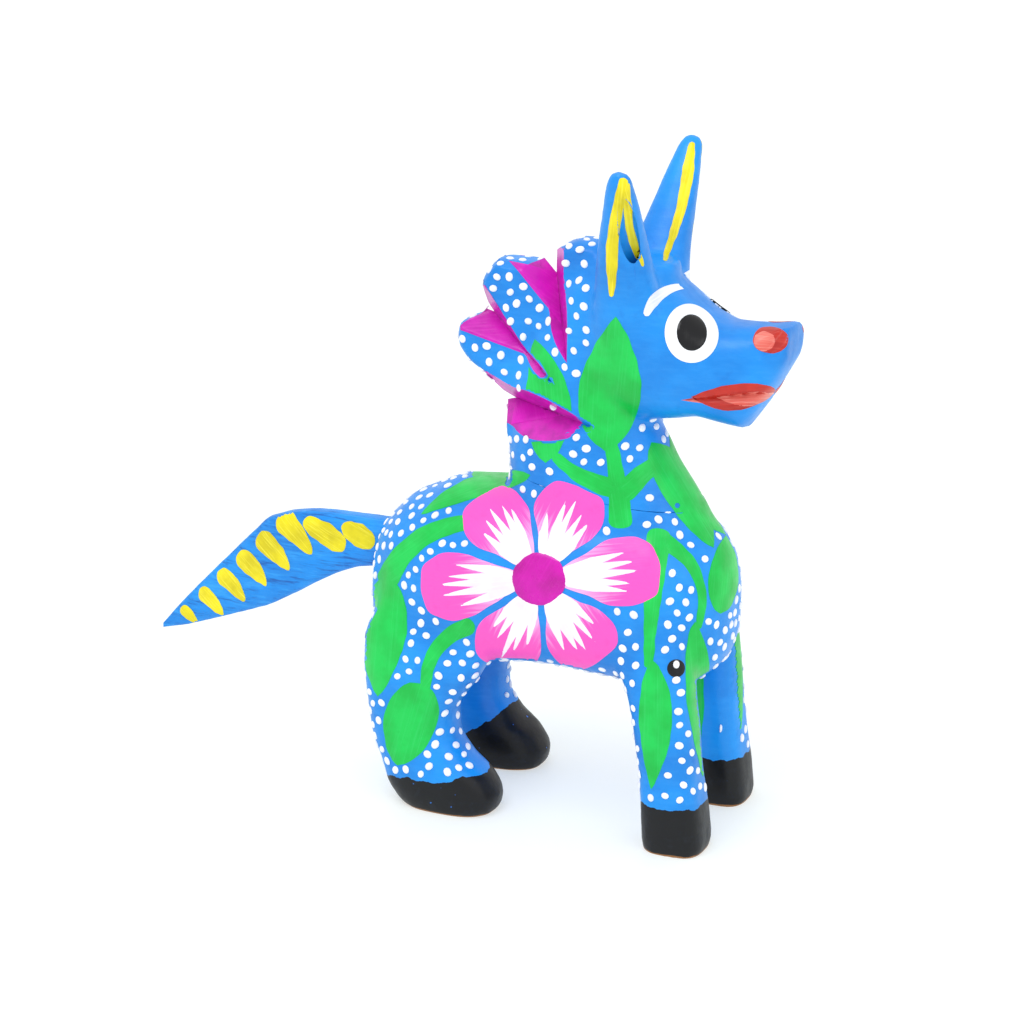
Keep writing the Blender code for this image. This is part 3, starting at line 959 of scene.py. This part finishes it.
def cut_walls(mesh):
    """For each face that lies on a wall of a cut: its number and the wall's colour number."""
    walls = []
    groups = [("mane", notch_points(*notch), (1, 1)) for notch in MANE_NOTCHES]
    # the mouth cut's two walls: the upper one red, the lower one red with a painted highlight, in salmon
    groups += [("mouth", MOUTH_CUT, (2, 3))]
    for side in (1.0, -1.0):
        for kind, cut, colours in groups:
            root, tip, *rims = [Vector(((p[0] + FRAME_SHIFT), p[1] * side, p[2])) * MM for p in cut]
            along = (tip - root).normalized()
            for rim, colour in zip(rims, colours):
                wing = rim - root
                wing -= along * wing.dot(along)
                normal = along.cross(wing).normalized()
                walls.append((root, normal, wing.normalized(), side, CUT_REACH[kind] * MM, colour))
    found = {}
    co = [v.co.copy() for v in mesh.vertices]
    for face in mesh.polygons:
        centre = face.center
        if centre.z < NECK_HEIGHT:
            continue
        for root, normal, wing, side, reach, colour in walls:
            if centre.y * side > 0.3 * MM or (centre - root).length > reach:
                continue
            if abs(face.normal.dot(normal)) < 0.93 or (centre - root).dot(wing) < -0.4 * MM:
                continue
            if all(abs((co[i] - root).dot(normal)) < CUT_NEAR * MM for i in face.vertices):
                found[face.index] = colour
                break
    return found


def paint_under(mesh, found):
    """Also colours the wood that shows through at the cuts' edges, under the notch and mouth paint."""
    view = Facing(None, BRUSH_AZIMUTH, BRUSH_ELEVATION)
    areas = [(notch_outline(notch), 1) for notch in MANE_NOTCHES]
    # colour 2 is the red mouth; colour 3 is salmon, a painted highlight on the red lower lip
    areas.append((lip_outline(LIP_HIGHLIGHT_CORNER, LIP_HIGHLIGHT_FRONT, 0.2, LIP_HIGHLIGHT_FALL), 3))
    areas.append((lip_outline(MOUTH_CORNER, MOUTH_FRONT, MOUTH_RISE, MOUTH_FALL), 2))
    for side in (1.0, -1.0):
        flip = Vector((1.0, side, 1.0))
        seen = []
        places = []
        for face in mesh.polygons:
            centre = face.center * flip / MM
            if centre.y < 0.5 and (face.normal * flip).dot(view.back) > 0.05:
                seen.append(face.index)
                places.append((centre.dot(view.across), centre.dot(view.up)))
        places = np.array(places)
        for outline, colour in areas:
            deep = inside(places, outline)
            deep[deep] = edge_distance(places[deep], outline) > (0.42 if colour == 1 else 0.3)
            for k in np.nonzero(deep)[0]:
                if colour == 1 or mesh.polygons[seen[k]].center.z * 1000 > 55:
                    # a face under the painted highlight keeps it
                    found[seen[k]] = colour if found.get(seen[k]) != 3 else 3


def hoof_line(x, y, z):
    """How far below the painted hoof's wavy top edge a place is, in millimetres."""
    fine = noise.noise(Vector((x / 1.3, y / 1.3, 3.0)))
    broad = noise.noise(Vector((x / 4.0, y / 4.0, 8.0)))
    wave = 0.35 * fine + 0.45 * broad
    if x > 17:
        top = 6.7
    elif y > 0:
        top = min(9.2, max(4.2, 4.4 + 0.72 * (x + 1.5)))
    else:
        top = 4.7 + 0.12 * x
    return top + wave - z


def wood_paint(name, hooves, grained=False):
    """The blue ground coat, with black hooves and a bare rim under them where asked."""
    s = Shader(name, 0.42, coat=0.14, specular=0.34)
    mottle = s.noise(520.0, 5.0, 0.6)
    streak = s.noise(800.0, 3.0, 0.6, s.stretched((0.35, 1.0, 1.6)))
    patch = s.noise(95.0, 3.0, 0.5)
    base = s.mix(s.ramp(patch, 0.35, 0.68), srgb(0, 122, 212), srgb(6, 147, 238))
    base = s.mix(s.ramp(streak, 0.46, 0.72, 0.0, 0.14), base, srgb(70, 176, 250))
    base = s.mix(s.ramp(mottle, 0.58, 0.72, 0.0, 0.22), base, srgb(0, 96, 192))
    rough = s.ramp(mottle, 0.3, 0.7, 0.34, 0.52)
    if hooves:
        depth = s.attribute("hoof").outputs["Fac"]
        edge = s.math("ADD", depth, s.ramp(s.noise(1500.0, 2.0), 0.3, 0.7, -0.09, 0.09))
        black = s.ramp(edge, -0.03, 0.03)
        tone = s.mix(s.ramp(mottle, 0.55, 0.75), srgb(8, 10, 15), srgb(24, 29, 38))
        flecks = s.ramp(s.noise(1500.0, 1.0, 0.4), 0.79, 0.81)
        tone = s.mix(s.math("MULTIPLY", flecks, 0.8), tone, srgb(32, 120, 220))
        base = s.mix(black, base, tone)
        s.link(s.ramp(black, 0.0, 1.0, 0.14, 0.05), s.out.inputs["Coat Weight"])
        s.link(s.ramp(black, 0.0, 1.0, 0.34, 0.30), s.out.inputs["Specular IOR Level"])
        height = s.node("ShaderNodeSeparateXYZ")
        s.link(s.place, height.inputs["Vector"])
        ragged = s.ramp(streak, 0.3, 0.7, -0.0001, 0.0001)
        bare = s.ramp(s.math("ADD", height.outputs["Z"], ragged), 0.0003, 0.0002)
        base = s.mix(bare, base, srgb(150, 104, 62))
    if grained:
        grain = s.noise(1500.0, 4.0, 0.65, s.stretched((0.10, 1.0, 1.0)), 0.4)
        base = s.mix(s.ramp(grain, 0.54, 0.66, 0.0, 0.75), base, srgb(0, 74, 158))
        base = s.mix(s.ramp(grain, 0.46, 0.36, 0.0, 0.35), base, srgb(60, 176, 250))
    s.colour(base)
    s.roughness(rough)
    grit = s.noise(1700.0, 3.0, 0.6)
    heights = [(streak, 0.02), (mottle, 0.05), (grit, 0.02)]
    if grained:
        heights.append((grain, 0.12))
    s.bump(heights)
    return s.material


def cut_paint(name, roughness, coat, scale, dark, light, relief, stretch=()):
    """Paint on the wall of a knife cut, in two mottled tones."""
    s = Shader(name, roughness, coat=coat)
    placed = [s.stretched(stretch)] if stretch else []
    tone = s.noise(scale, 4.0, 0.6, *placed)
    s.colour(s.mix(s.ramp(tone, 0.4, 0.66), dark, light))
    s.bump([(tone, relief)])
    return s.material


def bare_wood(name):
    s = Shader(name, 0.7)
    grain = s.noise(900.0, 4.0, 0.6, s.stretched((0.12, 1.0, 1.0)))
    s.colour(s.mix(s.ramp(grain, 0.35, 0.68), srgb(176, 134, 88), srgb(214, 178, 130)))
    s.bump([(grain, 0.06)])
    return s.material


def in_flower(spot):
    """Whether a place lies between the petals, close to the middle of either side's flower."""
    view = Facing(None, BRUSH_AZIMUTH, BRUSH_ELEVATION)
    near = Vector((spot.x, -abs(spot.y), spot.z)) / MM
    seen = Vector((near.dot(view.across), near.dot(view.up)))
    return near.z < 48 and (seen - Vector(FLOWER)).length < FLOWER_REACH


def grid_cell(spot, size):
    return tuple(int(math.floor(x / size)) for x in spot)


def scatter_dots(coat, trees, parts):
    """Small round dabs on the blue between the leaves, never touching each other or another coat."""
    rng = random.Random(23)
    faces = []
    areas = []
    for obj in parts:
        for face in obj.data.polygons:
            if obj == head and face.index in wall_colours:
                continue
            if dots_wanted(face.center / MM, face.normal):
                faces.append((obj, face))
                areas.append(face.area)
    picks = rng.choices(range(len(faces)), weights=areas, k=DOT_TRIES)
    taken = {}
    cell = DOT_SPACING * MM
    for spot in placed_dots:
        taken.setdefault(grid_cell(spot, cell), []).append(spot)
    for pick in picks:
        obj, face = faces[pick]
        a, b, c = (obj.data.vertices[i].co for i in face.vertices[:3])
        s, t = rng.random(), rng.random()
        if s + t > 1:
            s, t = 1 - s, 1 - t
        spot = a + (b - a) * s + (c - a) * t
        key = grid_cell(spot, cell)
        close = any(
            (other - spot).length < cell
            for step in product((-1, 0, 1), repeat=3)
            for other in taken.get(tuple(k + d for k, d in zip(key, step)), ())
        )
        if close or in_flower(spot):
            continue
        if any(tree.find_nearest(spot, (DOT_RADIUS + DOT_CLEAR) * MM)[0] is not None for tree in trees):
            continue
        taken.setdefault(key, []).append(spot)
        dab(coat, spot, face.normal, rng)


def dab(coat, spot, normal, rng):
    """One dot of thick paint: a low dome with a slightly uneven rim."""
    size = DOT_RADIUS * rng.uniform(0.86, 1.10)
    high = DOT_HEIGHT * rng.uniform(0.8, 1.15)
    across = normal.orthogonal().normalized()
    up = normal.cross(across)
    lean = rng.uniform(0, 6.28)
    base = len(coat.points)
    rings = ((1.0, -0.10), (1.0, 0.30), (0.80, 0.74), (0.45, 0.96))
    around = 12
    for share, lift in rings:
        for k in range(around):
            turn = 2 * math.pi * k / around
            oval = 1 + 0.10 * math.cos(2 * (turn + lean))
            flat = (across * math.cos(turn) + up * math.sin(turn)) * size * share * oval * MM
            coat.points.append(tuple(spot + flat + normal * high * lift * MM))
    coat.points.append(tuple(spot + normal * high * MM))
    coat.points.append(tuple(spot - normal * 0.1 * MM))
    for ring in range(len(rings) - 1):
        for k in range(around):
            a = base + ring * around + k
            b = base + ring * around + (k + 1) % around
            coat.faces.append((a, b, b + around, a + around))
    last = base + (len(rings) - 1) * around
    for k in range(around):
        coat.faces.append((last + k, last + (k + 1) % around, base + len(rings) * around))
        coat.faces.append((base + (k + 1) % around, base + k, base + len(rings) * around + 1))
    coat.stroke += [(0.5, 0.0, coat.count * 0.37)] * (len(rings) * around + 2)
    coat.count += 1


def dots_wanted(place, normal):
    x, y, z = place
    if z > 57:
        # the mane and the back of the neck, behind the cheek and the ears
        return x < 21.8 - 0.09 * (z - 57) and z < 80
    if z > 46:
        return x < 31 and normal.z > -0.7
    if z > 24:
        return normal.z > -0.25
    outward = normal.y * (1 if y > 0 else -1)
    return hoof_line(x, y, z) < -1.1 and (outward > 0.15 or abs(normal.x) > 0.8 and outward > -0.1)


# ---------------------------------------------------------------- build


make_camera()
make_stage()

body = wood_piece("body", "painted_body", "figure")
head = wood_piece("head", "painted_head", "figure")
tail = wood_piece("tail", "painted_tail", "tail")
wall_colours = cut_walls(head.data)
for obj, side in ((body, -1), (head, 1)):
    smooth_between_cuts(obj.data)
    close_neck_joint(obj.data, side)
    knife_marks(obj.data, 0.07, 5.0, side + 3)
smooth_between_cuts(tail.data)
knife_marks(tail.data, 0.05, 3.2, 9)

wood = surface_tree((body, head))
tail_wood = surface_tree((tail,))
walls = frozenset(len(body.data.polygons) + i for i, colour in wall_colours.items() if colour == 1)

green = Coat("leaf_green", "figure", "body_wood")
pink = Coat("petal_pink", "figure", "body_wood")
white = Coat("petal_white", "figure", "body_wood")
magenta = Coat("flower_disc", "figure", "body_wood")
eye_white = Coat("eye_white", "figure", "head_wood")
eye_black = Coat("eye_black", "figure", "head_wood")
spot_black = Coat("leg_spot", "figure", "body_wood")
lip_red = Coat("lip_red", "figure", "head_wood")
lip_painted_highlight = Coat("lip_painted_highlight", "figure", "head_wood")
notch_magenta = Coat("mane_magenta", "figure", "head_wood")
yellow = Coat("ear_yellow", "figure", "head_wood")
dots = Coat("white_dots", "figure", "body_wood")
placed_dots = []
tail_yellow = Coat("tail_yellow", "tail", "tail_wood")

for mirrored in (False, True):
    paint_side(wood, mirrored)
    square = Facing(tail_wood, 0.0, 0.0, mirrored)
    for i, (upper, lower, width, blunt) in enumerate(tail_strokes()):
        shares = (0.45, 0.8, 1.0, 0.95, 0.5) if blunt else (0.85, 1.0, 0.9, 0.6, 0.12)
        shape = stroke_outline(upper, lower, 0.3, width, shares)
        tail_yellow.patch(square, wobble(shape, 0.16, 1.1, i), TAIL_COAT, upper, lower, 0.3, least=0.05)
near_view = Facing(wood, BRUSH_AZIMUTH, BRUSH_ELEVATION, False, walls)
for upper, lower, width in FAR_EAR:
    shape = stroke_outline(upper, lower, -EAR_BOW, width, (0.45, 1.0, 0.9, 0.7, 0.3))
    yellow.patch(near_view, wobble(shape, 0.10, 1.1, 7), EAR_COAT, upper, lower, FINE_GRID, least=0.02)

coats = (green, pink, magenta, eye_white, yellow, notch_magenta)
scatter_dots(dots, [BVHTree.FromPolygons(c.points, c.faces) for c in coats], (body, head))

green.finish(paint("leaf_green", srgb(0, 178, 62), srgb(6, 202, 80), srgb(60, 216, 116), streaks=0.32))
pink.finish(petal_paint())
white.finish(
    paint("petal_white", srgb(250, 222, 244), srgb(254, 240, 250), srgb(255, 252, 255), streaks=0.8)
)
magenta.finish(paint("disc_magenta", srgb(172, 0, 140), srgb(204, 0, 172), srgb(222, 40, 190), 0.28, 0.5))
eye_white.finish(paint("eye_white", srgb(226, 232, 240), srgb(244, 246, 250), srgb(255, 255, 255)))
eye_black.finish(paint("eye_black", srgb(4, 4, 7), srgb(8, 9, 14), srgb(16, 18, 26), 0.14, 0.5, 0.3))
spot_black.finish(paint("spot_black", srgb(6, 7, 10), srgb(12, 14, 18), srgb(24, 26, 32), 0.3, 0.5, 0.3))
lip_red.finish(paint("lip_red", srgb(164, 28, 20), srgb(196, 44, 32), srgb(212, 78, 62), 0.38, 0.6))
# salmon: a painted highlight on the red, for the lower lip's and the nostril's lit facets
lip_painted_highlight.finish(
    paint("lip_painted_highlight", srgb(212, 84, 72), srgb(228, 120, 108), srgb(240, 168, 156), 0.4, 0.9)
)
notch_magenta.finish(
    paint("mane_magenta", srgb(180, 0, 160), srgb(212, 4, 186), srgb(226, 60, 200), 0.36, 0.4)
)
yellow.finish(paint("ear_yellow", srgb(206, 190, 0), srgb(240, 224, 10), srgb(252, 240, 70)))
dots.finish(paint("dot_white", srgb(230, 234, 244), srgb(246, 248, 252), srgb(255, 255, 255)))
tail_yellow.finish(paint("tail_yellow", srgb(206, 190, 0), srgb(240, 224, 10), srgb(252, 240, 70)))

layer = body.data.attributes.new("hoof", "FLOAT", "POINT")
for v in body.data.vertices:
    layer.data[v.index].value = hoof_line(*(v.co / MM))
for obj in (body, head, tail):
    shade_with_cuts(obj)
    obj.data.materials.clear()
    obj.data.materials.append(wood_paint(obj.name + "_blue", obj == body, obj == tail))
for cut in (
    cut_paint("cut_magenta", 0.36, 0.3, 420.0, srgb(180, 0, 160), srgb(214, 4, 186), 0.06),
    cut_paint("cut_red", 0.4, 0.2, 700.0, srgb(168, 34, 28), srgb(198, 56, 42), 0.05),
    # the mouth cut's lower wall: red with a painted highlight, in salmon
    cut_paint("cut_red_painted_highlight", 0.4, 0.2, 900.0, srgb(214, 92, 80), srgb(236, 136, 124), 0.08, (0.3, 1.0, 1.0)),
):
    head.data.materials.append(cut)
paint_under(head.data, wall_colours)
for index, colour in wall_colours.items():
    head.data.polygons[index].material_index = colour
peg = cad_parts["neck_peg"]
peg.data.materials.clear()
peg.data.materials.append(bare_wood("peg_wood"))
